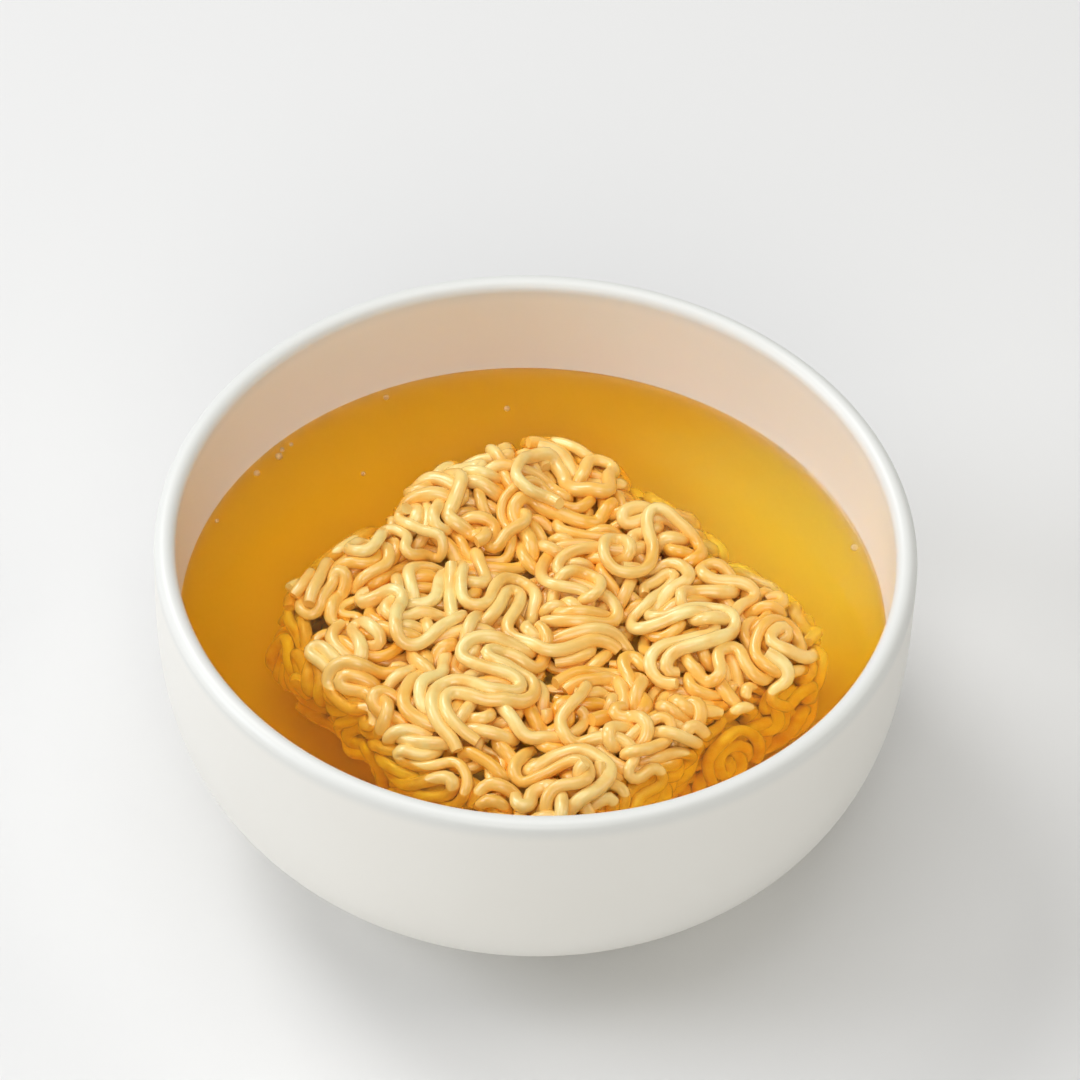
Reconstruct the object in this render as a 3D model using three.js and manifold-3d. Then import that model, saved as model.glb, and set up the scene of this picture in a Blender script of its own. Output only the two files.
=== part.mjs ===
// A block of instant noodles steeping in clear broth, in a plain white bowl.
// Millimetres, +Z up. The origin is the centre of the foot's underside, on the table.
// Three pieces: the bowl, the broth up to its level, and the noodle block that floats in it.
import * as THREE from "three";
import { mergeVertices } from "three/addons/utils/BufferGeometryUtils.js";
import Module from "manifold-3d";

const wasm = await Module();
wasm.setup();

// Driving dimensions
const BOWL_RADIUS = 78;
const BOWL_HEIGHT = 70;
const WALL = 4.4;
const FOOT_RADIUS = 36;
const FOOT_HEIGHT = 3;
const BROTH_LEVEL = 45.3;
const BLOCK_SIDE = 86;
const BLOCK_BOTTOM = 20.5;
const BLOCK_CENTRE = new THREE.Vector2(2.5, -2);
const BLOCK_TURN = Math.PI / 4;
const NOODLE_WIDTH = 2.6;
const FIT_GAP = 0.3;

// The bowl
const BOWL_SIDES = 48;
const BODY_STEPS = 8;
const BODY_CROWDING = 1.9;
const LIP_STEPS = 4;
const LIP_RADIUS = WALL / 2;
const LIP_SHARE = (BOWL_HEIGHT - LIP_RADIUS - FOOT_HEIGHT) / (BOWL_HEIGHT - FOOT_HEIGHT);
const FOOT_RING_WIDTH = 4.5;
const FOOT_RING_EASE = 0.6;
const FOOT_RECESS = 1.6;
const BELLY_RISE = 4;
const BELLY_SPREAD = 1.57;
const FLOOR_TOP = FOOT_HEIGHT + WALL;

// The noodle block
const BLOCK_SEED = 7;
const BLOCK_SIDES = 32;
const CORE_INSET = 2;
const CORE_HALF_SIDE = BLOCK_SIDE / 2 - CORE_INSET;
const CORE_UNDERCUT = 0.1;
const CORE_SKIRT = 6;
const CORE_SHOULDER = BROTH_LEVEL + 1.3;
const CORNER_ROUNDING = 5;
const DOME_HEIGHT = 2.4;
const DOME_FULLNESS = 1.6;
const DOME_STEPS = 3;
const NOODLE_FACES = 4;
const NOODLE_STEP = 2.3;
const SECTION_REACH = NOODLE_WIDTH * 0.64;
const SIDE_BY_SIDE = NOODLE_WIDTH + 0.1;
const TIGHTEST_BEND = 1.8;
const LAYER_LIFT = [0.45, 1.9];
const RIPPLE = 0.3;
const TUCK_DEPTH = 1.5;
const TUCK_LENGTH = 0.1;
const EDGE_SHARE = 0.93;
const LOWEST_OVERHANG = BROTH_LEVEL + FIT_GAP + SECTION_REACH;
const SITE_SPACING = 16;
const SITES_ACROSS = 5;
const SITE_SHAKE = 1.5;

// A repeatable stream of numbers from 0 to 1.
function seededRandom(seed) {
  let state = seed;
  return () => {
    state = (state * 1664525 + 1013904223) % 4294967296;
    return state / 4294967296;
  };
}

function solidOf(geometry) {
  const bare = geometry.clone();
  bare.deleteAttribute("normal");
  bare.deleteAttribute("uv");
  const merged = mergeVertices(bare, 1e-3);
  const mesh = new wasm.Mesh({
    numProp: 3,
    vertProperties: merged.attributes.position.array,
    triVerts: new Uint32Array(merged.index.array),
  });
  return new wasm.Manifold(mesh);
}

function geometryOf(solid) {
  const mesh = solid.getMesh();
  const geometry = new THREE.BufferGeometry();
  geometry.setAttribute("position", new THREE.BufferAttribute(mesh.vertProperties, 3));
  geometry.setIndex(new THREE.BufferAttribute(mesh.triVerts, 1));
  geometry.computeVertexNormals();
  return geometry;
}

// Turns a profile of radius and height about the bowl's upright axis.
function turned(profile, sides) {
  const geometry = new THREE.LatheGeometry(profile, sides);
  return geometry.rotateX(Math.PI / 2);
}

// A point on the outside of the bowl's body: share is 0 at the foot and 1 at the rim.
function bodyPoint(share) {
  const swell = (1 - (1 - share) ** BELLY_RISE) ** (1 / BELLY_SPREAD);
  const radius = FOOT_RADIUS + (BOWL_RADIUS - FOOT_RADIUS) * swell;
  return new THREE.Vector2(radius, FOOT_HEIGHT + (BOWL_HEIGHT - FOOT_HEIGHT) * share);
}

// The same point moved inwards, square to the wall.
function innerPoint(share, depth) {
  const nudge = 0.002;
  const along = bodyPoint(Math.min(1, share + nudge)).sub(bodyPoint(Math.max(0, share - nudge)));
  const inward = new THREE.Vector2(-along.y, along.x).normalize();
  return bodyPoint(share).addScaledVector(inward, depth);
}

// Shares of the body's height up to the lip, closer together where it curves most.
function bodyShares() {
  const shares = [];
  for (let step = 0; step <= BODY_STEPS; step++) {
    shares.push(LIP_SHARE * (step / BODY_STEPS) ** BODY_CROWDING);
  }
  return shares;
}

function bowlGeometry() {
  const ringInside = FOOT_RADIUS - FOOT_RING_WIDTH;
  const profile = [
    new THREE.Vector2(0, FOOT_RECESS),
    new THREE.Vector2(ringInside, FOOT_RECESS),
    new THREE.Vector2(ringInside + FOOT_RING_EASE, 0),
    new THREE.Vector2(FOOT_RADIUS - FOOT_RING_EASE, 0),
  ];
  bodyShares().forEach((share) => profile.push(bodyPoint(share)));
  const lipCentre = bodyPoint(LIP_SHARE).sub(new THREE.Vector2(LIP_RADIUS, 0));
  for (let step = 1; step < LIP_STEPS; step++) {
    const angle = (Math.PI * step) / LIP_STEPS;
    const round = new THREE.Vector2(Math.cos(angle), Math.sin(angle));
    profile.push(round.multiplyScalar(LIP_RADIUS).add(lipCentre));
  }
  bodyShares().reverse().forEach((share) => profile.push(innerPoint(share, WALL)));
  profile.push(new THREE.Vector2(0, FLOOR_TOP));
  return turned(profile, BOWL_SIDES);
}

// How far the block's outline lies from its centre in a direction, measured in its own frame.
function outlineReach(angle, halfSide) {
  const c = Math.abs(Math.cos(angle));
  const s = Math.abs(Math.sin(angle));
  return halfSide / (c ** CORNER_ROUNDING + s ** CORNER_ROUNDING) ** (1 / CORNER_ROUNDING);
}

// The cake's top above a place, given as a share of the way out to its edge.
function coreTop(share) {
  return CORE_SHOULDER + DOME_HEIGHT * (1 - Math.min(1, share) ** DOME_FULLNESS);
}

// The plain cake under the noodles that show: a pillow turned as a round one, then pushed out square.
function coreGeometry(grow) {
  const bottom = BLOCK_BOTTOM - grow;
  const profile = [
    new THREE.Vector2(0, bottom),
    new THREE.Vector2(1 - CORE_UNDERCUT, bottom),
    new THREE.Vector2(1 - CORE_UNDERCUT / 4, bottom + CORE_SKIRT / 3),
    new THREE.Vector2(1, bottom + CORE_SKIRT),
  ];
  for (let step = 0; step <= DOME_STEPS; step++) {
    const share = 1 - step / DOME_STEPS;
    profile.push(new THREE.Vector2(share, coreTop(share) + grow));
  }
  const geometry = turned(profile, BLOCK_SIDES);
  const position = geometry.attributes.position;
  for (let i = 0; i < position.count; i++) {
    const x = position.getX(i);
    const y = position.getY(i);
    const reach = outlineReach(Math.atan2(y, x), CORE_HALF_SIDE + grow);
    position.setXY(i, x * reach, y * reach);
  }
  geometry.rotateZ(BLOCK_TURN);
  return geometry.translate(BLOCK_CENTRE.x, BLOCK_CENTRE.y, 0);
}

// The noodle's ways of lying. Each gives one or more paths on the flat, none of which crosses itself.
function swirlPaths(random) {
  const sweep = 2 * Math.PI * (1.8 + random() * 0.5);
  const stretch = 1.05 + random() * 0.35;
  const growth = SIDE_BY_SIDE / (2 * Math.PI);
  const points = [];
  for (let angle = 0; angle <= sweep; angle += Math.PI / 16) {
    const radius = TIGHTEST_BEND + growth * angle;
    points.push(new THREE.Vector2(radius * Math.cos(angle) * stretch, radius * Math.sin(angle)));
  }
  return [points];
}

function meanderPaths(random) {
  const runs = 4;
  const pitch = SIDE_BY_SIDE + 0.5 + random() * 0.7;
  const points = [];
  for (let run = 0; run < runs; run++) {
    const way = run % 2 ? -1 : 1;
    const half = 4 + random() * 3;
    const across = (run - (runs - 1) / 2) * pitch;
    for (let step = -2; step <= 2; step++) {
      points.push(new THREE.Vector2((way * half * step) / 2, across));
    }
    for (let turn = 1; turn <= 3 && run < runs - 1; turn++) {
      const angle = (Math.PI * turn) / 4;
      const side = way * (half + (pitch / 2) * Math.sin(angle));
      points.push(new THREE.Vector2(side, across + (pitch / 2) * (1 - Math.cos(angle))));
    }
  }
  return [points];
}

function bendPath(radius, sweep, leg) {
  const points = [];
  const outward = new THREE.Vector2(Math.cos(sweep / 2), -Math.sin(sweep / 2));
  for (let angle = sweep / 2; angle >= -sweep / 2; angle -= sweep / 8) {
    points.push(new THREE.Vector2(Math.sin(angle), Math.cos(angle)).multiplyScalar(radius));
  }
  const first = points[0].clone().addScaledVector(outward, leg);
  const last = points[points.length - 1].clone();
  last.addScaledVector(new THREE.Vector2(-outward.x, outward.y), leg);
  return [first, ...points, last];
}

// Two noodles that take the same bend, one inside the other.
function nestedPaths(random) {
  const sweep = Math.PI * (0.85 + random() * 0.4);
  const radius = 2.6 + random() * 1.6;
  const leg = 6 + random() * 5;
  return [bendPath(radius, sweep, leg), bendPath(radius + SIDE_BY_SIDE, sweep, leg * 0.8)];
}

const LYING = [swirlPaths, meanderPaths, nestedPaths];

// Lifts a flat path onto the cake. It follows the dome and its ends tuck in, but past the cake's
// edge it stays clear of the broth.
function laidPath(flat, layer, phase) {
  const last = flat.length - 1;
  const points = flat.map((p, i) => {
    const share = p.length() / outlineReach(Math.atan2(p.y, p.x), CORE_HALF_SIDE);
    const height = coreTop(share) + LAYER_LIFT[layer] + RIPPLE * Math.sin(phase + i / 2);
    const fromEnd = Math.min(i, last - i) / last;
    const tuck = TUCK_DEPTH * Math.max(0, 1 - fromEnd / TUCK_LENGTH);
    const lifted = share < EDGE_SHARE ? height - tuck : Math.max(LOWEST_OVERHANG, height);
    return new THREE.Vector3(p.x, p.y, lifted);
  });
  return new THREE.CatmullRomCurve3(points, false, "centripetal");
}

function noodleGeometry(path) {
  const section = new THREE.Shape();
  for (let face = 0; face < NOODLE_FACES; face++) {
    const angle = (2 * Math.PI * (face + 0.5)) / NOODLE_FACES;
    const corner = new THREE.Vector2(Math.cos(angle), Math.sin(angle)).multiplyScalar(SECTION_REACH);
    if (face === 0) section.moveTo(corner.x, corner.y);
    else section.lineTo(corner.x, corner.y);
  }
  const steps = Math.round(path.getLength() / NOODLE_STEP);
  const geometry = new THREE.ExtrudeGeometry(section, { steps, extrudePath: path, bevelEnabled: false });
  geometry.rotateZ(BLOCK_TURN);
  return geometry.translate(BLOCK_CENTRE.x, BLOCK_CENTRE.y, 0);
}

// The noodles lying round one place, in the cake's own frame.
function noodlesAt(place, layer, random) {
  const lying = LYING[Math.floor(random() * LYING.length)];
  const turn = random() * 2 * Math.PI;
  const phase = random() * 2 * Math.PI;
  return lying(random).map((flat) => {
    const moved = flat.map((p) => p.rotateAround(new THREE.Vector2(0, 0), turn).add(place));
    return noodleGeometry(laidPath(moved, layer, phase));
  });
}

// The places where noodles lie, on a shaken grid over the cake, in the cake's own frame.
function noodlePlaces(random) {
  const places = [];
  for (let row = 0; row < SITES_ACROSS; row++) {
    for (let column = 0; column < SITES_ACROSS; column++) {
      const middle = (SITES_ACROSS - 1) / 2;
      const place = new THREE.Vector2(column - middle, row - middle).multiplyScalar(SITE_SPACING);
      place.x += (random() * 2 - 1) * SITE_SHAKE;
      place.y += (random() * 2 - 1) * SITE_SHAKE;
      const share = place.length() / outlineReach(Math.atan2(place.y, place.x), CORE_HALF_SIDE);
      if (share < 1) places.push({ place, layer: (row + column) % 2 });
    }
  }
  return places;
}

// The outer skin alone: hollows shut in between noodles are filled, and loose scraps dropped.
function outerShell(solid) {
  return solid.decompose().reduce((best, shell) => (shell.volume() > best.volume() ? shell : best));
}

function blockGeometry() {
  const random = seededRandom(BLOCK_SEED);
  let block = solidOf(coreGeometry(0));
  for (const { place, layer } of noodlePlaces(random)) {
    for (const noodle of noodlesAt(place, layer, random)) block = block.add(solidOf(noodle));
  }
  return geometryOf(outerShell(block));
}

// The broth fills the bowl to its level, round the cake.
function brothGeometry() {
  const wallPoints = bodyShares().map((share) => innerPoint(share, WALL + FIT_GAP));
  const below = wallPoints.filter((point) => point.y < BROTH_LEVEL);
  const under = below[below.length - 1];
  const over = wallPoints[below.length];
  const level = under.clone().lerp(over, (BROTH_LEVEL - under.y) / (over.y - under.y));
  const bottom = new THREE.Vector2(0, FLOOR_TOP + FIT_GAP);
  const profile = [bottom, ...below, level, new THREE.Vector2(0, BROTH_LEVEL)];
  const full = solidOf(turned(profile, BOWL_SIDES));
  return geometryOf(full.subtract(solidOf(coreGeometry(FIT_GAP))));
}

function piece(name, geometry, color, roughness) {
  const material = new THREE.MeshStandardMaterial({ color, roughness, metalness: 0 });
  const mesh = new THREE.Mesh(geometry, material);
  mesh.name = name;
  return mesh;
}

const group = new THREE.Group();
group.add(piece("bowl", bowlGeometry(), 0xe9e8e3, 0.35));
group.add(piece("broth", brothGeometry(), 0xd08c1e, 0.05));
group.add(piece("noodle_block", blockGeometry(), 0xf0bb5c, 0.4));

export default group;
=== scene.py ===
import math

import bpy
import numpy as np
from mathutils import Matrix, Vector
from mathutils.kdtree import KDTree


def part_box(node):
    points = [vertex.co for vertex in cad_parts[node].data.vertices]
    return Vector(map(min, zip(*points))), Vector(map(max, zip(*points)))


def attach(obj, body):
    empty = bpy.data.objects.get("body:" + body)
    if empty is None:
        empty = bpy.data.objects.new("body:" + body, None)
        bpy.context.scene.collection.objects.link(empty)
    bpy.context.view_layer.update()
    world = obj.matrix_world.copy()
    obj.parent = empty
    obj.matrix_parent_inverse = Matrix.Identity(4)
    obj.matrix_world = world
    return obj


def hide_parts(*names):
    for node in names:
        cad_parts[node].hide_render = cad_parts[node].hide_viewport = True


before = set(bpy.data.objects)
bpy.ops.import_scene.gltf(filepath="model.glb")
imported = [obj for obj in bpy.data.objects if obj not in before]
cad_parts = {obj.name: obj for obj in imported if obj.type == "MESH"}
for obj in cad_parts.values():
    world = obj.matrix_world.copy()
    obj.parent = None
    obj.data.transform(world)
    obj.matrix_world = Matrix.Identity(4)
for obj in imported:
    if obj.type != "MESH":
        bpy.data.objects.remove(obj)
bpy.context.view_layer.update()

MM = 0.001

# Sizes that the solids already have
BOWL_HIGH = Vector(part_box("bowl")[1])
BOWL_RADIUS = BOWL_HIGH.x
BOWL_HEIGHT = BOWL_HIGH.z
BROTH_LEVEL = Vector(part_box("broth")[1]).z
BLOCK_BOTTOM = Vector(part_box("noodle_block")[0]).z

# The bowl: its wall, foot and side, and the half circle of its lip
WALL = 4.4 * MM
FOOT_RADIUS = 36 * MM
FOOT_HEIGHT = 3 * MM
FOOT_RING_WIDTH = 4.5 * MM
FOOT_RECESS = 1.6 * MM
FOOT_EDGE = 0.9 * MM
EDGE_STEPS = 4
BELLY_RISE = 4
BELLY_SPREAD = 1.57
BODY_STEPS = 40
BODY_CROWDING = 1.9
SLOPE_NUDGE = 0.002
LIP_RADIUS = WALL / 2
LIP_SHARE = (BOWL_HEIGHT - LIP_RADIUS - FOOT_HEIGHT) / (BOWL_HEIGHT - FOOT_HEIGHT)
LIP_STEPS = 12
BOWL_SIDES = 192

# Its glaze: where it pools inside, whiter with painted light under the broth, where it thins over the
# lip, greyer with painted shade, where it is wiped off, and how large its patches are
POOLING_AND_LIGHT_TOP = BROTH_LEVEL + 3 * MM
POOLING_AND_LIGHT_FADE = 12 * MM
LIP_BREAK_AND_SHADE = 5 * MM
FOOT_WIPED = 0.3 * MM
GLAZE_CLOUD = 25 * MM
GLAZE_WAVE = 9 * MM
GLAZE_WAVE_HEIGHT = 0.1 * MM

# The noodle block: a rounded square heart, turned in the bowl, with layers of noodles laid over it
BLOCK_CENTRE = Vector((2.5 * MM, -2 * MM, 0.7 * MM))
BLOCK_TURN = math.radians(45)
NOODLE_WIDTH = 2.8 * MM
NOODLE_THICKNESS = 2.45 * MM
NOODLE_CORNER = 0.95 * MM
HEART_HALF = 40 * MM
HEART_CORNER = 15 * MM
HEART_EDGE = 4 * MM
HEART_INSET = 3.5 * MM
HEART_TOP = BROTH_LEVEL - 2.6 * MM
HEART_BOTTOM = BLOCK_BOTTOM + 6.5 * MM
LAYER_PITCH = 2.1 * MM
COVERAGE = [0.85, 0.66, 0.64, 0.66]
UNEVENNESS = 1.8 * MM
UNEVEN_SPACING = np.array([31, 27, 19]) * MM
UNEVEN_PHASE = np.array([1.1, 0.4, 0])
CORNER_STEPS = 12
HEART_EDGE_STEPS = 6
STEP = 1.25 * MM
NOODLE_STEPS = 66
NOODLE_SEED = 24
TINY = 1e-9

# Where a noodle starts: tries for a bare place, how far beyond the heart and how near its surface,
# and which points of the noodles laid so far it keeps away from
START_TRIES = 160
TRY_BEYOND = 4 * MM
TRY_WITHIN = 5 * MM
KEPT_AWAY_FROM = slice(None, None, 3)
FAR_AWAY = 1.0

# How a noodle lies: the tightest and widest bends of a strip of one, two and three noodles,
# how often each strip comes, how often it curls up, and how it heaves and tucks in its ends
STRIP_BENDS = [(1.9 * MM, 3.6 * MM), (3.2 * MM, 4.6 * MM), (4.6 * MM, 5.8 * MM)]
STRIP_SHARES = [0.55, 0.35, 0.10]
STRIP_SPACING = 1.06 * NOODLE_WIDTH
STRIP_RUN = (3 * MM, 12 * MM)
RUN_BEND = 25
HALF_TURNS = (0.8, 1.2)
SWITCH_CHANCE = 0.85
CURL_CHANCE = 0.10
CURL_TURNS = (1.0, 1.5)
CURL_OPENING = (0.8, 2.1)
CURL_LENGTHENING = 1.5
SCATTER = 0.15 * MM
HEAVE = (0.5 * MM, 2.2 * MM)
HEAVE_LENGTH = (14 * MM, 30 * MM)
TUCK_DEPTH = 2.0 * MM
TUCK_LENGTH = 3.0 * MM

# How the noodles settle: the least distance between two, the least chord over two and four steps,
# how far they sink each round, and when they slow down and are smoothed
CLEARANCE = 2.55 * MM
CHORDS = {2: 2.33 * MM, 4: 3.5 * MM}
SETTLING_ROUNDS = 150
PAIR_REACH = CLEARANCE + 1.2 * MM
PAIR_ROUNDS = 8
NEXT_POINTS = 3
LINK_REPEATS = 2
LAST_SMOOTHINGS = 3
SINK_FAST = 0.08 * MM
SINK_SLOW = 0.02 * MM
SLOW_FROM = 0.6 * SETTLING_ROUNDS
SMOOTH_FROM = 0.75 * SETTLING_ROUNDS
PUSH_SHARE = 0.7
CHORD_SHARE = 0.5
SMOOTH_SHARE = 0.2

# How a noodle's thickness, twist and colour vary along it
SWELLING = 0.05
SWELLING_SPACING = 8
END_PINCH = 0.14
END_PINCH_STEPS = 0.7
TWIST = 0.05
ON_TOP_DEPTH = 3 * MM
# Paler the higher a noodle lies: drier dough on top, with painted highlight on the lit top strands, and
# amber low down, with painted shade on the deep strands in the gaps
PALE_AND_LIT_HEIGHT = 3 * LAYER_PITCH
PALE_AND_LIT_SHARE = 0.62
PALE_CHANCE = (-0.1, 0.4)
PALING = 1.5
# Sunk noodles paler and yellower: soaked dough that the broth tints, and painted light that lifts the
# sunk noodles, which the broth leaves dark
SOAKED_AND_LIT_REACH = 3 * MM
MOTTLE = 5 * MM
MOTTLE_FROM = 0.45
MOTTLE_TO = 0.75
MOTTLE_SHARE = 0.62
DOUGH_GRAIN = 1.2 * MM
DOUGH_GRAIN_HEIGHT = 0.15 * MM

# Its mesh: the distance between rings, and the edges and corners of its section
RING_SPACING = 1 * MM
SUNK_RING_SPACING = 1.2 * MM
CORNER_POINTS = 2
CUT_EDGE = math.radians(55)

# The broth: how far it reaches into the wall, how it rises against wall and noodles, and where
# fresh water makes it paler at the right back, which is also painted light for the lit broth there
INTO_WALL = 0.15 * MM
SURFACE_CELLS = 210
WALL_RISE = 0.5 * MM
WALL_RISE_REACH = 0.8 * MM
NOODLE_RISE = 0.12 * MM
NOODLE_RISE_REACH = 0.8 * MM
CUTTING_DEPTH = 0.65 * NOODLE_THICKNESS
FIRST_RING_DEPTH = 0.5 * MM
# Where the broth is paler: fresh water, and painted light for the lit broth at the right back
INFLOW_AND_LIGHT = (50 * MM, 28 * MM, 45 * MM)
INFLOW_AND_LIGHT_CORE = 8 * MM
INFLOW_AND_LIGHT_REACH = 50 * MM
SWIRL = 24 * MM
SWIRL_REACH = 22 * MM
BROTH_DENSITY = 200.0
BROTH_LETS_THROUGH = (0.9993, 0.9730, 0.02, 1)

# The bubbles: their shape, and for each the angle round the bowl in degrees and how far from the
# middle its outer edge is
BUBBLE_SEED = 3
BUBBLE_SIDES = 16
BUBBLE_STEPS = 8
BUBBLE_SUNK = 0.15
BUBBLE_HEIGHT = 0.9
BUBBLE_BASE = 0.4
BUBBLE_FLOAT = 0.1 * MM
BUBBLE_PATCH = 1 * MM
BUBBLE_RADIUS = (0.45 * MM, 0.95 * MM)
BUBBLES = [
    (138, 71.6 * MM),
    (140, 71.9 * MM),
    (141.5, 71.4 * MM),
    (147, 71.8 * MM),
    (160, 71.9 * MM),
    (118, 71.7 * MM),
    (97, 62 * MM),
    (133, 55 * MM),
    (20, 71.7 * MM),
    (-24, 71.8 * MM),
]

# The camera, fitted to the photograph's rim and broth edge
IMAGE_SIDE = 1080
CAMERA_ELEVATION = math.radians(46.67)
CAMERA_DISTANCE = 1.30
CAMERA_AIM = Vector((0.74 * MM, 0, 69.5 * MM))
CAMERA_ROLL = math.radians(2.35)
FOCAL_PIXELS = 6367
SENSOR_MM = 36


def linear(hex_colour):
    """Turns an sRGB hex colour into linear red, green, blue and alpha."""
    parts = [int(hex_colour[i:i + 2], 16) / 255 for i in (1, 3, 5)]
    return [p / 12.92 if p <= 0.04045 else ((p + 0.055) / 1.055) ** 2.4 for p in parts] + [1]


def add(tree, kind, inputs=(), **settings):
    """Adds a node. Each input takes a value or the socket that feeds it; settings set the node."""
    node = tree.nodes.new(kind)
    for name, value in settings.items():
        setattr(node, name, value)
    for name, value in dict(inputs).items():
        if isinstance(value, bpy.types.NodeSocket):
            tree.links.new(value, node.inputs[name])
        else:
            node.inputs[name].default_value = value
    return node


# Solid of revolution and smooth meshes

def mesh_object(name, vertices, faces):
    """A smooth mesh in the scene, with its places in the mesh and its object at the origin."""
    mesh = bpy.data.meshes.new(name)
    mesh.from_pydata([tuple(v) for v in vertices], [], faces)
    mesh.validate()
    mesh.polygons.foreach_set("use_smooth", [True] * len(mesh.polygons))
    piece = bpy.data.objects.new(name, mesh)
    bpy.context.scene.collection.objects.link(piece)
    return piece


def ring_faces(rings, sides):
    """Faces of a closed skin: a first point, rings of points from low to high, and a last point."""
    last = 1 + rings * sides
    faces = []
    for side in range(sides):
        after = (side + 1) % sides
        faces.append((0, 1 + after, 1 + side))
        for ring in range(rings - 1):
            low = 1 + ring * sides
            high = low + sides
            faces.append((low + side, low + after, high + after, high + side))
        top = 1 + (rings - 1) * sides
        faces.append((top + side, top + after, last))
    return faces


def turned(name, profile, sides):
    """Turns a profile of radius and height that starts and ends on the axis."""
    vertices = [(0, 0, profile[0][1])]
    for radius, height in profile[1:-1]:
        for side in range(sides):
            angle = 2 * math.pi * side / sides
            vertices.append((radius * math.cos(angle), radius * math.sin(angle), height))
    vertices.append((0, 0, profile[-1][1]))
    return mesh_object(name, vertices, ring_faces(len(profile) - 2, sides))


# The bowl

def body_point(share):
    """A point on the outside of the body: share is 0 at the foot and 1 at the rim."""
    swell = (1 - (1 - share) ** BELLY_RISE) ** (1 / BELLY_SPREAD)
    radius = FOOT_RADIUS + (BOWL_RADIUS - FOOT_RADIUS) * swell
    return np.array([radius, FOOT_HEIGHT + (BOWL_HEIGHT - FOOT_HEIGHT) * share])


def inner_point(share, depth):
    """A point that lies some depth inside the outer side, square to it."""
    along = body_point(min(1, share + SLOPE_NUDGE)) - body_point(max(0, share - SLOPE_NUDGE))
    inward = np.array([-along[1], along[0]]) / np.linalg.norm(along)
    return body_point(share) + inward * depth


def body_shares():
    """Where the rings of the body lie, closest together where it curves most, at the foot."""
    return [LIP_SHARE * (step / BODY_STEPS) ** BODY_CROWDING for step in range(BODY_STEPS + 1)]


def arc(across, height, radius, first, last, steps):
    """Points of a rounded edge between two angles in degrees, both included."""
    points = []
    for step in range(steps + 1):
        angle = math.radians(first + (last - first) * step / steps)
        points.append((across + radius * math.cos(angle), height + radius * math.sin(angle)))
    return points


def make_bowl():
    """The bowl, with a share on each point for how much whiter its glaze is: glaze that pools inside
    under the broth, and painted light that brightens the bowl under the broth.
    """
    ring_inside = FOOT_RADIUS - FOOT_RING_WIDTH
    profile = [(0, FOOT_RECESS), (ring_inside - FOOT_EDGE, FOOT_RECESS)]
    profile += arc(ring_inside + FOOT_EDGE, FOOT_EDGE, FOOT_EDGE, 180, 270, EDGE_STEPS)
    profile += arc(FOOT_RADIUS - FOOT_EDGE, FOOT_EDGE, FOOT_EDGE, 270, 360, EDGE_STEPS)
    profile += [tuple(body_point(share)) for share in body_shares()]
    across, height = body_point(LIP_SHARE) - np.array([LIP_RADIUS, 0])
    profile += arc(across, height, LIP_RADIUS, 0, 180, LIP_STEPS)[1:-1]
    inside = [tuple(inner_point(share, WALL)) for share in reversed(body_shares())]
    profile += inside
    profile.append((0, FOOT_HEIGHT + WALL))
    bowl = turned("bowl_glazed", profile, BOWL_SIDES)
    heights = np.array([vertex.co.z for vertex in bowl.data.vertices])
    # Whiter glaze inside up to just over the broth: glaze that pools there, and painted light that
    # brightens the bowl under the broth
    pooling_and_light = np.clip((POOLING_AND_LIGHT_TOP - heights) / POOLING_AND_LIGHT_FADE, 0, 1)
    pooling_and_light[:-(len(inside) * BOWL_SIDES + 1)] = 0
    bowl.data.attributes.new("glaze_pooling_and_light", "FLOAT", "POINT").data.foreach_set("value", pooling_and_light)
    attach(bowl, "root")
    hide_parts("bowl")
    return bowl


# The noodles

def heart_surface(points):
    """How far points lie outside the cake's rounded heart, and the way out, in the cake's own frame."""
    flat = np.abs(points[:, :2]) - (HEART_HALF - HEART_CORNER)
    beyond = np.maximum(flat, 0)
    length = np.linalg.norm(beyond, axis=1)
    plan = length + np.minimum(flat.max(axis=1), 0) - HEART_CORNER
    plan_way = beyond / np.maximum(length, TINY)[:, None]
    level_side = length < TINY
    plan_way[level_side, flat[level_side].argmax(axis=1)] = 1
    plan_way *= np.where(points[:, :2] < 0, -1, 1)
    middle = (HEART_BOTTOM + HEART_TOP) / 2
    upright = np.abs(points[:, 2] - middle) - (HEART_TOP - HEART_BOTTOM) / 2
    pair = np.column_stack([plan, upright]) + HEART_EDGE
    outer = np.maximum(pair, 0)
    size = np.linalg.norm(outer, axis=1)
    distance = size + np.minimum(pair.max(axis=1), 0) - HEART_EDGE
    share = outer / np.maximum(size, TINY)[:, None]
    deep = size < TINY
    share[deep] = 0
    share[deep, pair[deep].argmax(axis=1)] = 1
    wave = points * (2 * math.pi / UNEVEN_SPACING) + UNEVEN_PHASE
    distance = distance - UNEVENNESS * np.sin(wave[:, 0]) * np.sin(wave[:, 1]) * np.cos(wave[:, 2])
    up = np.where(points[:, 2] < middle, -1, 1) * share[:, 1]
    return distance, np.column_stack([plan_way * share[:, :1], up])


def barest_place(rng, laid):
    """A place on the heart, the farthest of many tries from the noodles laid so far."""
    reach = np.array([HEART_HALF, HEART_HALF, (HEART_TOP - HEART_BOTTOM) / 2]) + TRY_BEYOND
    tries = rng.uniform(-1, 1, (START_TRIES, 3)) * reach
    tries[:, 2] += (HEART_TOP + HEART_BOTTOM) / 2
    distance, way = heart_surface(tries)
    tries = (tries - way * distance[:, None])[np.abs(distance) < TRY_WITHIN]
    gaps = np.linalg.norm(tries[:, None] - laid[None], axis=2).min(axis=1)
    return tries[gaps.argmax()]


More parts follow.
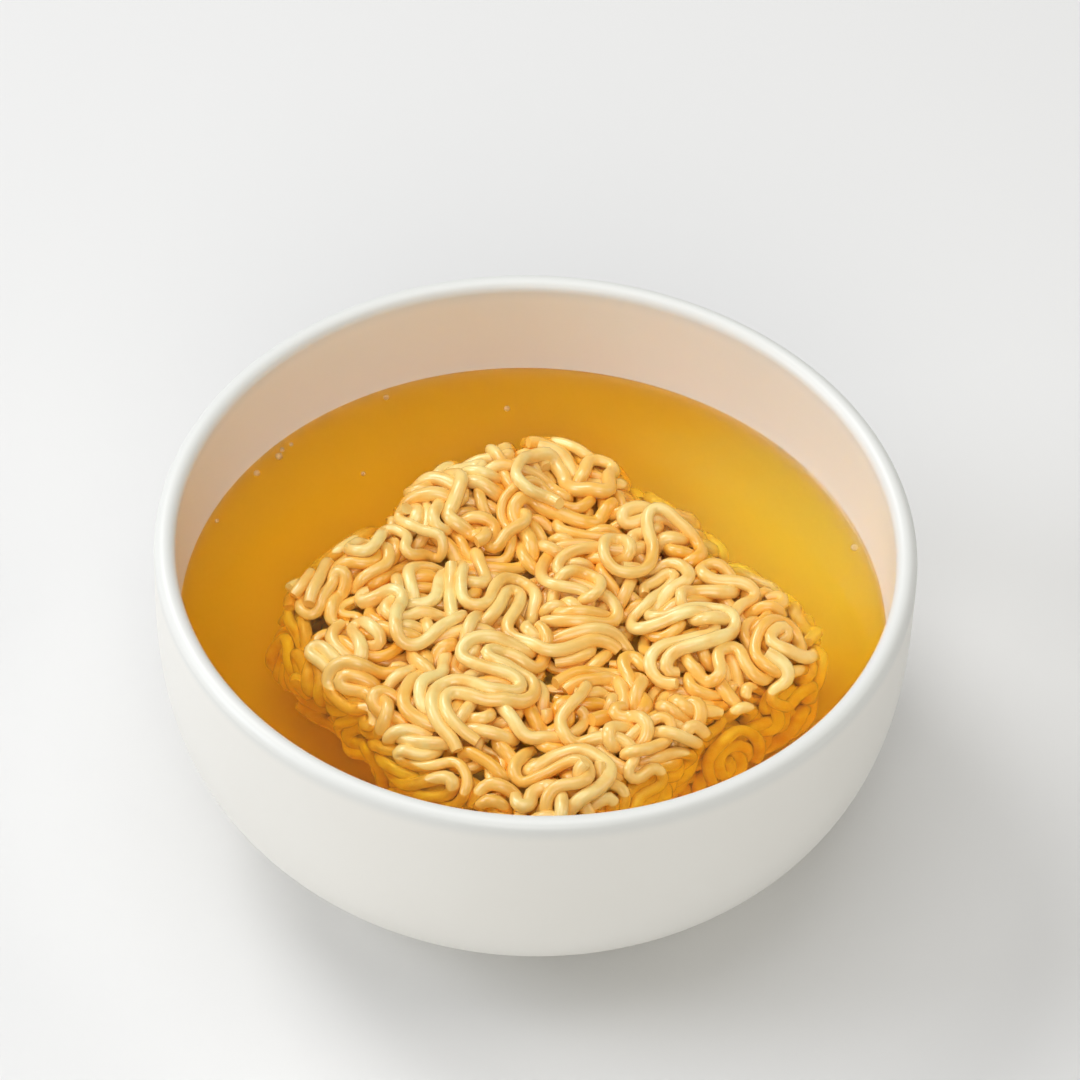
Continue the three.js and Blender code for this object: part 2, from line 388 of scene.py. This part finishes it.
def bends(rng, tight, loose):
    """How sharply one noodle bends at each step: U-turns joined by short runs, with a few curls."""
    curve = []
    side = rng.choice([-1, 1])
    curl = rng.random() < CURL_CHANCE
    while len(curve) < NOODLE_STEPS:
        radius = rng.uniform(tight, loose)
        if curl:
            sweep = rng.uniform(*CURL_TURNS) * 2 * math.pi
            count = int(sweep * radius * CURL_LENGTHENING / STEP)
            curve += list(side / (radius * np.linspace(*CURL_OPENING, count)))
            curl = False
        else:
            sweep = rng.uniform(*HALF_TURNS) * math.pi
            count = max(2, int(sweep * radius / STEP))
            curve += [side / radius] * count
        run = int(rng.uniform(*STRIP_RUN) / STEP)
        curve += list(np.full(run, rng.normal(0, RUN_BEND)))
        if rng.random() < SWITCH_CHANCE:
            side = -side
    return np.array(curve[:NOODLE_STEPS])


def heave(rng, height):
    """How high a noodle runs at each step: over and under its neighbours, with its ends tucked in."""
    along = np.arange(NOODLE_STEPS) * STEP
    rise = rng.uniform(*HEAVE)
    phase = along / rng.uniform(*HEAVE_LENGTH) + rng.random()
    wave = rise * np.sin(2 * math.pi * phase)
    from_end = np.minimum(along, along[-1] - along)
    return height + wave - TUCK_DEPTH * np.exp(-from_end / TUCK_LENGTH)


def walk(start, heading, bend, height):
    """Walks a noodle over the heart, bending as it goes, and gives its places and the way to its side."""
    place = start[None].copy()
    ahead = heading[None].copy()
    path, sides = [], []
    for turn, level in zip(bend, height):
        distance, way = heart_surface(place)
        place = place + way * (level - distance)[:, None]
        ahead = ahead - way * (ahead * way).sum()
        ahead /= np.linalg.norm(ahead)
        side = np.cross(way, ahead)
        path.append(place[0])
        sides.append(side[0])
        ahead = ahead * math.cos(turn * STEP) + side * math.sin(turn * STEP)
        place = place + ahead * STEP
    return np.array(path), np.array(sides)


def evenly(points):
    """The same path with points one step apart."""
    gaps = np.linalg.norm(np.diff(points, axis=0), axis=1)
    along = np.concatenate([[0], np.cumsum(gaps)])
    count = max(4, int(along[-1] / STEP))
    marks = np.linspace(0, count * STEP, count + 1)
    marks = marks[marks <= along[-1]]
    return np.column_stack([np.interp(marks, along, points[:, axis]) for axis in range(3)])


def laid_noodles(rng):
    """Noodles laid over the heart in layers, alone or in strips of two or three side by side."""
    noodles = []
    # The top and the bottom are each 2 by 2 half sides, and each of the four sides is 2 half sides long
    area = 8 * HEART_HALF ** 2 + 8 * HEART_HALF * (HEART_TOP - HEART_BOTTOM)
    for layer, coverage in enumerate(COVERAGE):
        height = NOODLE_THICKNESS / 2 + layer * LAYER_PITCH
        laid = np.full((1, 3), FAR_AWAY)
        wanted = area * coverage / NOODLE_WIDTH
        length = 0
        while length < wanted:
            strip = rng.choice(len(STRIP_BENDS), p=STRIP_SHARES) + 1
            start = barest_place(rng, laid)
            bend = bends(rng, *STRIP_BENDS[strip - 1])
            path, sides = walk(start, rng.normal(0, 1, 3), bend, heave(rng, height))
            for number in range(strip):
                offset = (number - (strip - 1) / 2) * STRIP_SPACING
                noodles.append(evenly(path + sides * offset))
                laid = np.concatenate([laid, noodles[-1][KEPT_AWAY_FROM]])
                length += NOODLE_STEPS * STEP
    for points in noodles:
        points += rng.normal(0, SCATTER, 3)
    return noodles


def near_pairs(points, reach):
    """All pairs of points nearer than reach, found through a grid of boxes."""
    box = np.floor(points / reach).astype(np.int64)
    box -= box.min(axis=0)
    span = box.max(axis=0) + 3
    key = (box[:, 0] * span[1] + box[:, 1]) * span[2] + box[:, 2]
    order = np.argsort(key, kind="stable")
    sorted_key = key[order]
    first, second = [], []
    for dx in (-1, 0, 1):
        for dy in (-1, 0, 1):
            for dz in (-1, 0, 1):
                other = key + (dx * span[1] + dy) * span[2] + dz
                start = np.searchsorted(sorted_key, other, "left")
                count = np.searchsorted(sorted_key, other, "right") - start
                owner = np.repeat(np.arange(len(points)), count)
                offset = np.arange(count.sum()) - np.repeat(np.cumsum(count) - count, count)
                met = order[np.repeat(start, count) + offset]
                ahead = owner < met
                first.append(owner[ahead])
                second.append(met[ahead])
    first, second = np.concatenate(first), np.concatenate(second)
    close = np.linalg.norm(points[first] - points[second], axis=1) < reach
    return first[close], second[close]


def pushed(points, first, second, wanted, share, only_apart):
    """Moves pairs of points towards the wanted distance, each by an equal share."""
    gap = points[second] - points[first]
    size = np.maximum(np.linalg.norm(gap, axis=1), TINY)
    error = wanted - size
    if only_apart:
        error = np.maximum(error, 0)
    move = gap * (share * error / size / 2)[:, None]
    total = np.zeros_like(points)
    for axis in range(3):
        total[:, axis] += np.bincount(second, move[:, axis], len(points))
        total[:, axis] -= np.bincount(first, move[:, axis], len(points))
    return total


def settled(noodles):
    """Lets the noodles sink onto the heart until they lie on and beside each other."""
    points = np.concatenate(noodles)
    owner = np.repeat(np.arange(len(noodles)), [len(n) for n in noodles])
    number = np.arange(len(points))
    link = number[:-1][owner[:-1] == owner[1:]]
    chords = {gap: number[:-gap][owner[:-gap] == owner[gap:]] for gap in CHORDS}
    middle = chords[2] + 1
    for turn in range(SETTLING_ROUNDS):
        if turn % PAIR_ROUNDS == 0:
            first, second = near_pairs(points, PAIR_REACH)
            apart = (owner[first] != owner[second]) | (second - first > NEXT_POINTS)
            first, second = first[apart], second[apart]
        distance, way = heart_surface(points)
        sink = SINK_FAST if turn < SLOW_FROM else SINK_SLOW
        points = points - way * np.minimum(sink, distance - NOODLE_THICKNESS / 2)[:, None]
        points = points + pushed(points, first, second, CLEARANCE, PUSH_SHARE, True)
        for gap, start in chords.items():
            points = points + pushed(points, start, start + gap, CHORDS[gap], CHORD_SHARE, True)
        if turn > SMOOTH_FROM:
            smoother = (points[middle - 1] + points[middle + 1]) / 2
            points[middle] += SMOOTH_SHARE * (smoother - points[middle])
        for _ in range(LINK_REPEATS):
            points = points + pushed(points, link, link + 1, STEP, PUSH_SHARE, False)
    for _ in range(LAST_SMOOTHINGS):
        points[middle] = (points[middle - 1] + 2 * points[middle] + points[middle + 1]) / 4
    cuts = np.cumsum([len(n) for n in noodles])[:-1]
    return np.split(points, cuts)


def placed(points):
    """Turns points from the cake's own frame to the bowl's."""
    c, s = math.cos(BLOCK_TURN), math.sin(BLOCK_TURN)
    turned_points = points.copy()
    turned_points[:, 0] = c * points[:, 0] - s * points[:, 1] + BLOCK_CENTRE.x
    turned_points[:, 1] = s * points[:, 0] + c * points[:, 1] + BLOCK_CENTRE.y
    turned_points[:, 2] += BLOCK_CENTRE.z
    return turned_points


def noodle_tree(material):
    """Geometry Nodes: paths become noodles with a rounded square section."""
    tree = bpy.data.node_groups.new("noodle_along_path", "GeometryNodeTree")
    face = tree.interface
    face.new_socket("Paths", in_out="INPUT", socket_type="NodeSocketGeometry")
    for label in ("Width", "Thickness", "Corner radius", "Ring spacing"):
        face.new_socket(label, in_out="INPUT", socket_type="NodeSocketFloat")
    face.new_socket("Noodles", in_out="OUTPUT", socket_type="NodeSocketGeometry")
    given = add(tree, "NodeGroupInput")
    curve = add(tree, "GeometryNodeMeshToCurve", {"Mesh": given.outputs["Paths"]})
    smooth = add(tree, "GeometryNodeCurveSplineType", {
        "Curve": curve.outputs[0],
    }, spline_type="CATMULL_ROM")
    even = add(tree, "GeometryNodeResampleCurve", {
        "Curve": smooth.outputs[0],
        "Length": given.outputs["Ring spacing"],
    }, mode="LENGTH")
    section = add(tree, "GeometryNodeCurvePrimitiveQuadrilateral", {
        "Width": given.outputs["Width"],
        "Height": given.outputs["Thickness"],
    })
    rounded = add(tree, "GeometryNodeFilletCurve", {
        "Curve": section.outputs[0],
        "Radius": given.outputs["Corner radius"],
        "Count": CORNER_POINTS,
    }, mode="POLY")
    tilt = add(tree, "GeometryNodeInputNamedAttribute", {"Name": "tilt_angle"}, data_type="FLOAT")
    tilted = add(tree, "GeometryNodeSetCurveTilt", {
        "Curve": even.outputs[0],
        "Tilt": tilt.outputs["Attribute"],
    })
    swell = add(tree, "GeometryNodeInputNamedAttribute", {"Name": "swelling"}, data_type="FLOAT")
    tube = add(tree, "GeometryNodeCurveToMesh", {
        "Curve": tilted.outputs[0],
        "Profile Curve": rounded.outputs[0],
        "Scale": swell.outputs["Attribute"],
        "Fill Caps": True,
    })
    soft = add(tree, "GeometryNodeSetShadeSmooth", {"Geometry": tube.outputs[0]})
    fold = add(tree, "GeometryNodeInputMeshEdgeAngle")
    cut_edge = add(tree, "FunctionNodeCompare", {
        "A": fold.outputs["Unsigned Angle"],
        "B": CUT_EDGE,
    }, operation="GREATER_THAN")
    crisp = add(tree, "GeometryNodeSetShadeSmooth", {
        "Geometry": soft.outputs[0],
        "Selection": cut_edge.outputs[0],
        "Shade Smooth": False,
    }, domain="EDGE")
    real = add(tree, "GeometryNodeRealizeInstances", {"Geometry": crisp.outputs[0]})
    done = add(tree, "GeometryNodeSetMaterial", {"Geometry": real.outputs[0], "Material": material})
    add(tree, "NodeGroupOutput", {"Noodles": done.outputs[0]})
    return tree


def swelling_along(rng, count):
    """How thick a noodle is at each point: uneven along it, and a little less at its cut ends."""
    number = np.arange(count)
    knots = np.arange(0, count + SWELLING_SPACING, SWELLING_SPACING)
    slow = np.interp(number, knots, rng.normal(0, SWELLING, len(knots)))
    from_end = np.minimum(number, count - 1 - number)
    return rng.normal(1, SWELLING) + slow - END_PINCH * np.exp(-from_end / END_PINCH_STEPS)


def paleness_and_painted_light(rng, path):
    """How pale a noodle is at each point: amber deep in the cake, as wetter dough and as painted shade in
    the gaps, and paler the farther out it lies, as drier dough and as painted highlight on the lit top
    strands.
    """
    height = heart_surface(path)[0]
    share = PALE_AND_LIT_SHARE * height / PALE_AND_LIT_HEIGHT + rng.uniform(*PALE_CHANCE)
    return np.clip(share, 0, 1) ** PALING


def noodle_piece(name, paths, shades, ring_spacing, tree, rng):
    """One mesh of many noodles, made by the tree from their paths."""
    points = np.concatenate(paths)
    edges = []
    base = 0
    for path in paths:
        edges += [(base + i, base + i + 1) for i in range(len(path) - 1)]
        base += len(path)
    mesh = bpy.data.meshes.new(name + "_paths")
    mesh.from_pydata([tuple(p) for p in points], edges, [])
    shade = mesh.attributes.new("noodle_paleness_and_light", "FLOAT", "POINT")
    shade.data.foreach_set("value", np.concatenate(shades))
    tilt = mesh.attributes.new("tilt_angle", "FLOAT", "POINT")
    angles = [rng.uniform(0, math.pi) + np.cumsum(rng.normal(0, TWIST, len(p))) for p in paths]
    tilt.data.foreach_set("value", np.concatenate(angles))
    swelling = mesh.attributes.new("swelling", "FLOAT", "POINT")
    swelling.data.foreach_set("value", np.concatenate([swelling_along(rng, len(p)) for p in paths]))
    source = bpy.data.objects.new(name + "_paths", mesh)
    bpy.context.scene.collection.objects.link(source)
    modifier = source.modifiers.new("noodles", "NODES")
    modifier.node_group = tree
    sizes = {
        "Width": NOODLE_WIDTH,
        "Thickness": NOODLE_THICKNESS,
        "Corner radius": NOODLE_CORNER,
        "Ring spacing": ring_spacing,
    }
    for item in tree.interface.items_tree:
        if item.item_type == "SOCKET" and item.name in sizes:
            modifier[item.identifier] = sizes[item.name]
    ready = source.evaluated_get(bpy.context.evaluated_depsgraph_get())
    result = bpy.data.meshes.new_from_object(ready)
    result.name = name
    piece = bpy.data.objects.new(name, result)
    bpy.context.scene.collection.objects.link(piece)
    source.modifiers.clear()
    bpy.data.objects.remove(source)
    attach(piece, "root")
    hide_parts("noodle_block")
    return piece


def make_noodles(material):
    """All the noodles of the cake in two meshes, those on top and those sunk in the broth."""
    rng = np.random.default_rng(NOODLE_SEED)
    lying = settled(laid_noodles(rng))
    paths = [placed(path) for path in lying]
    shades = [paleness_and_painted_light(rng, path) for path in lying]
    tree = noodle_tree(material)
    on_top = [np.median(path[:, 2]) > HEART_TOP - ON_TOP_DEPTH for path in paths]
    for name, wanted, ring_spacing in (
        ("noodles_on_top", True, RING_SPACING),
        ("noodles_sunk", False, SUNK_RING_SPACING),
    ):
        chosen = [number for number, above in enumerate(on_top) if above == wanted]
        chosen_paths = [paths[n] for n in chosen]
        chosen_shades = [shades[n] for n in chosen]
        noodle_piece(name, chosen_paths, chosen_shades, ring_spacing, tree, rng)
    return paths


def make_heart(material):
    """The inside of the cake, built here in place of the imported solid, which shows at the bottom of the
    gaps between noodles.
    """
    low = HEART_BOTTOM + HEART_INSET
    high = HEART_TOP - HEART_INSET
    rings = []
    for level, way in ((low, -1), (high, 1)):
        for step in range(HEART_EDGE_STEPS + 1):
            share = step if way < 0 else HEART_EDGE_STEPS - step
            angle = math.pi / 2 * share / HEART_EDGE_STEPS
            inset = HEART_INSET + HEART_EDGE * (1 - math.sin(angle))
            rings.append((inset, level - way * HEART_EDGE * (1 - math.cos(angle))))
    vertices = [(0, 0, low)]
    for inset, height in rings:
        for quarter in range(4):
            for step in range(CORNER_STEPS + 1):
                angle = math.pi / 2 * (quarter + step / CORNER_STEPS)
                middle = math.pi / 2 * (quarter + 0.5)
                centre = (HEART_HALF - HEART_CORNER) * math.sqrt(2)
                radius = HEART_CORNER - inset
                vertices.append((
                    centre * math.cos(middle) + radius * math.cos(angle),
                    centre * math.sin(middle) + radius * math.sin(angle),
                    height,
                ))
    vertices.append((0, 0, high))
    faces = ring_faces(len(rings), 4 * (CORNER_STEPS + 1))
    heart = mesh_object("noodle_heart", placed(np.array(vertices)), faces)
    heart.data.materials.append(material)
    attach(heart, "root")
    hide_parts("noodle_block")
    return heart


# The broth

def make_broth(material, paths):
    """A closed body: a gridded disc for the surface, and rings down the bowl's inside."""
    cells = SURFACE_CELLS
    level_share = (BROTH_LEVEL - FOOT_HEIGHT) / (BOWL_HEIGHT - FOOT_HEIGHT)
    radius = inner_point(level_share, WALL - INTO_WALL)[0]
    line = np.linspace(-1, 1, cells + 1)
    u, v = np.meshgrid(line, line, indexing="ij")
    x = u * np.sqrt(1 - v ** 2 / 2) * radius
    y = v * np.sqrt(1 - u ** 2 / 2) * radius
    from_wall = np.maximum(radius - INTO_WALL - np.hypot(x, y), 0)
    z = BROTH_LEVEL + WALL_RISE * np.exp(-from_wall / WALL_RISE_REACH)
    points = np.concatenate(paths)
    cutting = points[np.abs(points[:, 2] - BROTH_LEVEL) < CUTTING_DEPTH]
    crossing = KDTree(len(cutting))
    for index, (px, py, _) in enumerate(cutting):
        crossing.insert((px, py, 0), index)
    crossing.balance()
    near = np.array([crossing.find((px, py, 0))[2] for px, py in zip(x.ravel(), y.ravel())])
    past_noodle = np.maximum(near - NOODLE_WIDTH / 2, 0)
    z = z + (NOODLE_RISE * np.exp(-past_noodle / NOODLE_RISE_REACH)).reshape(z.shape)
    surface = np.column_stack([x.ravel(), y.ravel(), z.ravel()])
    vertices = [tuple(p) for p in surface]
    number = np.arange((cells + 1) ** 2).reshape(cells + 1, cells + 1)
    quads = np.stack([number[:-1, :-1], number[1:, :-1], number[1:, 1:], number[:-1, 1:]], axis=-1)
    faces = quads.reshape(-1, 4).tolist()
    edges = [number[:-1, 0], number[-1, :-1], number[:0:-1, -1], number[0, :0:-1]]
    border = np.concatenate(edges).tolist()
    ring = border
    deepest = BROTH_LEVEL - FIRST_RING_DEPTH
    shares = [share for share in body_shares() if inner_point(share, WALL)[1] < deepest]
    for share in reversed(shares):
        ring_radius, height = inner_point(share, WALL - INTO_WALL)
        start = len(vertices)
        for corner in border:
            px, py, _ = surface[corner]
            size = math.hypot(px, py)
            vertices.append((px / size * ring_radius, py / size * ring_radius, height))
        following = list(range(start, start + len(border)))
        for k in range(len(border)):
            after = (k + 1) % len(border)
            faces.append((ring[after], ring[k], following[k], following[after]))
        ring = following
    vertices.append((0, 0, FOOT_HEIGHT + WALL - INTO_WALL))
    for k in range(len(border)):
        faces.append((ring[(k + 1) % len(border)], ring[k], len(vertices) - 1))
    broth = mesh_object("broth_clear", vertices, faces)
    broth.data.materials.append(material)
    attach(broth, "root")
    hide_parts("broth")
    return broth


def make_bubbles(material):
    """A few small bubbles that float on the broth, most of them against the wall."""
    rng = np.random.default_rng(BUBBLE_SEED)
    vertices, faces = [], []
    for angle, from_middle in BUBBLES:
        radius = rng.uniform(*BUBBLE_RADIUS)
        angle = math.radians(angle)
        centre = np.array([
            (from_middle - radius) * math.cos(angle),
            (from_middle - radius) * math.sin(angle),
            BROTH_LEVEL + BUBBLE_FLOAT,
        ])
        rings = []
        for step in range(BUBBLE_STEPS):
            rise = math.pi * (step / BUBBLE_STEPS - BUBBLE_SUNK)
            if rise < math.pi / 2:
                rings.append((radius * math.cos(rise), radius * math.sin(rise) * BUBBLE_HEIGHT))
        base = len(vertices)
        vertices.append(centre - [0, 0, BUBBLE_BASE * radius])
        for size, height in rings:
            for side in range(BUBBLE_SIDES):
                turn = 2 * math.pi * side / BUBBLE_SIDES
                vertices.append(centre + [size * math.cos(turn), size * math.sin(turn), height])
        vertices.append(centre + [0, 0, BUBBLE_HEIGHT * radius])
        faces += [tuple(base + k for k in face) for face in ring_faces(len(rings), BUBBLE_SIDES)]
    bubbles = mesh_object("broth_bubbles", vertices, faces)
    bubbles.data.materials.append(material)
    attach(bubbles, "root")
    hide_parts("broth")
    return bubbles


# Materials

def new_material(name):
    material = bpy.data.materials.new(name)
    material.use_nodes = True
    tree = material.node_tree
    tree.nodes.clear()
    return material, tree


def object_place(tree):
    return add(tree, "ShaderNodeTexCoord").outputs["Object"]


def height_of(tree, place):
    return add(tree, "ShaderNodeSeparateXYZ", {"Vector": place}).outputs["Z"]


def attribute(tree, name):
    return add(tree, "ShaderNodeAttribute", attribute_name=name).outputs["Fac"]


def arithmetic(tree, operation, first, second):
    return add(tree, "ShaderNodeMath", {0: first, 1: second}, operation=operation).outputs[0]


def noise(tree, place, size, **inputs):
    """A cloudy pattern from 0 to 1, its patches about as wide as the size."""
    pattern = {"Vector": place, "Scale": 1 / size, **inputs}
    return add(tree, "ShaderNodeTexNoise", pattern).outputs[0]


def spread(tree, value, low, high, interpolation="LINEAR", to_low=0.0, to_high=1.0):
    """Turns a value between low and high into one between 0 and 1, or between two others."""
    return add(tree, "ShaderNodeMapRange", {
        "Value": value,
        "From Min": low,
        "From Max": high,
        "To Min": to_low,
        "To Max": to_high,
    }, interpolation_type=interpolation).outputs[0]


def blend(tree, share, first, second):
    """Goes from the first colour to the second as the share goes from 0 to 1."""
    return add(tree, "ShaderNodeMix", {
        "Factor": share,
        "A": first,
        "B": second,
    }, data_type="RGBA").outputs["Result"]


def white_stoneware_glaze():
    """White satin stoneware glaze. Dipped and fired, it lies thick and white inside and on the sides,
    whiter inside under the broth, where it pools and where painted light brightens the bowl under the
    broth. It breaks to a greyer white over the lip, where it runs thin and where painted shade darkens
    the up-facing lip, and is wiped off under the foot ring, which leaves bare clay. The eye gets soft,
    broad highlights with a very slight waviness."""
    material, tree = new_material("white_stoneware_satin_glaze")
    place = object_place(tree)
    height = height_of(tree, place)
    cloud = noise(tree, place, GLAZE_CLOUD, Detail=3.0)
    white = blend(tree, cloud, linear("#f6f4ed"), linear("#f4f1e9"))
    # Whiter glaze inside under the broth: glaze that pools there, and painted light that brightens the
    # bowl under the broth
    pooled_and_lit = blend(tree, attribute(tree, "glaze_pooling_and_light"), white, linear("#fefcf7"))
    # Greyer glaze over the lip: thin glaze there, and painted shade that darkens the up-facing lip
    thin = spread(tree, height, BOWL_HEIGHT - LIP_BREAK_AND_SHADE, BOWL_HEIGHT, "SMOOTHSTEP")
    broken_and_shaded = blend(tree, thin, pooled_and_lit, linear("#e3e4e0"))
    wiped = arithmetic(tree, "LESS_THAN", height, FOOT_WIPED)
    colour = blend(tree, wiped, broken_and_shaded, linear("#d8ccb9"))
    wave = add(tree, "ShaderNodeBump", {
        "Height": noise(tree, place, GLAZE_WAVE, Detail=1.0),
        "Strength": 0.2,
        "Distance": GLAZE_WAVE_HEIGHT,
    })
    glaze = add(tree, "ShaderNodeBsdfPrincipled", {
        "Base Color": colour,
        "Roughness": spread(tree, wiped, 0.0, 1.0, to_low=0.38, to_high=0.85),
        "Normal": wave.outputs[0],
        "IOR": 1.5,
    })
    add(tree, "ShaderNodeOutputMaterial", {"Surface": glaze.outputs[0]})
    return material


def golden_broth():
    """Clear golden broth, steeped from the noodles and their seasoning: amber where it has steeped,
    paler and yellower at the right back, where fresh water went in and painted light stands in for the
    lit broth. It takes up blue within millimetres and green within centimetres, so it deepens with depth,
    and its surface mirrors the bowl and bends what lies under."""
    material, tree = new_material("golden_broth")
    place = object_place(tree)
    # Paler at the right back: fresh water, and painted light for the lit broth there
    from_inflow_and_light = add(tree, "ShaderNodeVectorMath", {0: place, 1: INFLOW_AND_LIGHT}, operation="DISTANCE")
    swirl = noise(tree, place, SWIRL, Detail=2.0, Distortion=1.2)
    wander = arithmetic(tree, "MULTIPLY", swirl, SWIRL_REACH)
    edge = arithmetic(tree, "ADD", from_inflow_and_light.outputs["Value"], wander)
    first_steeped = INFLOW_AND_LIGHT_CORE + SWIRL_REACH / 2
    all_steeped = INFLOW_AND_LIGHT_REACH + SWIRL_REACH / 2
    steeped = spread(tree, edge, first_steeped, all_steeped, "SMOOTHSTEP")
    liquid = add(tree, "ShaderNodeBsdfPrincipled", {
        "Base Color": blend(tree, steeped, linear("#fffffa"), linear("#ffe59c")),
        "Roughness": 0.0,
        "IOR": 1.22,
        "Transmission Weight": 0.97,
    })
    depth = add(tree, "ShaderNodeVolumeAbsorption", {
        "Density": BROTH_DENSITY,
        "Color": BROTH_LETS_THROUGH,
    })
    add(tree, "ShaderNodeOutputMaterial", {"Surface": liquid.outputs[0], "Volume": depth.outputs[0]})
    return material


def bubble_film():
    """The thin wet skin of a bubble, blown up by air that rises from the noodles. The eye gets hardly
    any colour, and a small bright glint."""
    material, tree = new_material("bubble_film")
    place = object_place(tree)
    thickness = noise(tree, place, BUBBLE_PATCH, Detail=0.0)
    film = add(tree, "ShaderNodeBsdfPrincipled", {
        "Base Color": blend(tree, thickness, linear("#fffaf0"), linear("#fff4d8")),
        "Roughness": 0.0,
        "IOR": 1.1,
        "Transmission Weight": 0.85,
        "Coat Weight": 1.0,
        "Coat Roughness": 0.05,
    })
    add(tree, "ShaderNodeOutputMaterial", {"Surface": film.outputs[0]})
    return material


def steeped_noodle():
    """Instant wheat noodle, steamed, fried and now steeping. It is pale where it is swollen and drier on
    top, with painted highlight on the lit top strands, amber deep in the cake, with painted shade in the
    gaps, and patchy from the frying. Where it is sunk it is paler and yellower: soaked dough that the
    broth tints, and painted light that lifts the sunk noodles, which the broth leaves dark. The eye gets
    a slightly grainy dough under a smooth wet skin, which gives long soft highlights."""
    material, tree = new_material("steeped_wheat_noodle")
    place = object_place(tree)
    # Pale to amber by height: drier and wetter dough, with painted highlight on the top strands and
    # painted shade on the deep ones
    tint_and_painted_light = blend(tree, attribute(tree, "noodle_paleness_and_light"), linear("#efaa1c"), linear("#f4dc8e"))
    dry = spread(tree, height_of(tree, place), BROTH_LEVEL - SOAKED_AND_LIT_REACH, BROTH_LEVEL + SOAKED_AND_LIT_REACH)
    # Sunk noodles paler and yellower: soaked dough that the broth tints, and painted light that lifts the
    # sunk noodles
    soaked_and_lit = blend(tree, dry, linear("#ffe07e"), tint_and_painted_light)
    mottle = noise(tree, place, MOTTLE, Detail=3.0)
    patch = spread(tree, mottle, MOTTLE_FROM, MOTTLE_TO, to_high=MOTTLE_SHARE)
    grain = add(tree, "ShaderNodeBump", {
        "Height": noise(tree, place, DOUGH_GRAIN, Detail=2.0),
        "Strength": 0.25,
        "Distance": DOUGH_GRAIN_HEIGHT,
    })
    dough = add(tree, "ShaderNodeBsdfPrincipled", {
        "Base Color": blend(tree, patch, soaked_and_lit, linear("#eea61e")),
        "Roughness": 0.4,
        "IOR": 1.45,
        "Normal": grain.outputs[0],
        "Coat Weight": 1.0,
        "Coat Roughness": 0.22,
        "Coat IOR": 1.5,
    })
    add(tree, "ShaderNodeOutputMaterial", {"Surface": dough.outputs[0]})
    return material


def pale_floor():
    """Pale matt studio paper. Uncoated, it scatters light evenly, so the eye gets only soft shadows."""
    material, tree = new_material("pale_studio_floor")
    paper = add(tree, "ShaderNodeBsdfPrincipled", {"Base Color": linear("#e3e3e2"), "Roughness": 0.9})
    add(tree, "ShaderNodeOutputMaterial", {"Surface": paper.outputs[0]})
    return material


# The studio

def make_floor():
    reach = 3.0
    corners = [(-reach, -reach, 0), (reach, -reach, 0), (reach, reach, 0), (-reach, reach, 0)]
    floor = mesh_object("studio_floor", corners, [(0, 1, 2, 3)])
    floor.data.materials.append(pale_floor())


def area_light(name, place, aim, size, watts, colour="#ffffff"):
    light = bpy.data.lights.new(name, "AREA")
    light.shape = "DISK"
    light.size = size
    light.energy = watts
    light.color = linear(colour)[:3]
    lamp = bpy.data.objects.new(name, light)
    bpy.context.scene.collection.objects.link(lamp)
    lamp.location = place
    lamp.rotation_euler = (Vector(aim) - Vector(place)).to_track_quat("-Z", "Y").to_euler()


def make_lights():
    aim = (0, 0, 0.05)
    area_light("window_behind", (-1.0, 0.95, 1.5), aim, 0.9, 14.8)
    area_light("window_beside", (-1.5, -0.1, 0.95), aim, 0.9, 11.6, "#f5f8ff")
    area_light("ceiling", (0, 0, 1.8), aim, 1.4, 11.2)
    area_light("front_fill", (0, -1.5, 1.2), aim, 1.0, 10.8, "#fffdf8")
    area_light("right_fill", (1.5, 0.2, 1.2), aim, 1.0, 4.9, "#fffaf0")
    world = bpy.data.worlds.new("studio")
    bpy.context.scene.world = world
    world.use_nodes = True
    back = world.node_tree.nodes["Background"]
    back.inputs["Color"].default_value = linear("#f4f5f7")
    back.inputs["Strength"].default_value = 0.14
    bpy.context.scene.view_settings.view_transform = "Standard"
    light_paths = bpy.context.scene.cycles
    light_paths.diffuse_bounces = 7
    light_paths.max_bounces = 11
    light_paths.blur_glossy = 0
    light_paths.use_light_tree = False


def make_camera():
    data = bpy.data.cameras.new("camera")
    data.sensor_width = SENSOR_MM
    data.lens = FOCAL_PIXELS * SENSOR_MM / IMAGE_SIDE
    camera = bpy.data.objects.new("camera", data)
    bpy.context.scene.collection.objects.link(camera)
    back = Vector((0, -math.cos(CAMERA_ELEVATION), math.sin(CAMERA_ELEVATION)))
    camera.location = CAMERA_AIM + back * CAMERA_DISTANCE
    upright = (-back).to_track_quat("-Z", "Y").to_matrix()
    camera.rotation_euler = (upright @ Matrix.Rotation(CAMERA_ROLL, 3, "Z")).to_euler()
    bpy.context.scene.camera = camera


make_floor()
make_lights()
make_camera()
bowl = make_bowl()
bowl.data.materials.append(white_stoneware_glaze())
dough = steeped_noodle()
paths = make_noodles(dough)
make_heart(dough)
broth_liquid = golden_broth()
make_broth(broth_liquid, paths)
make_bubbles(bubble_film())
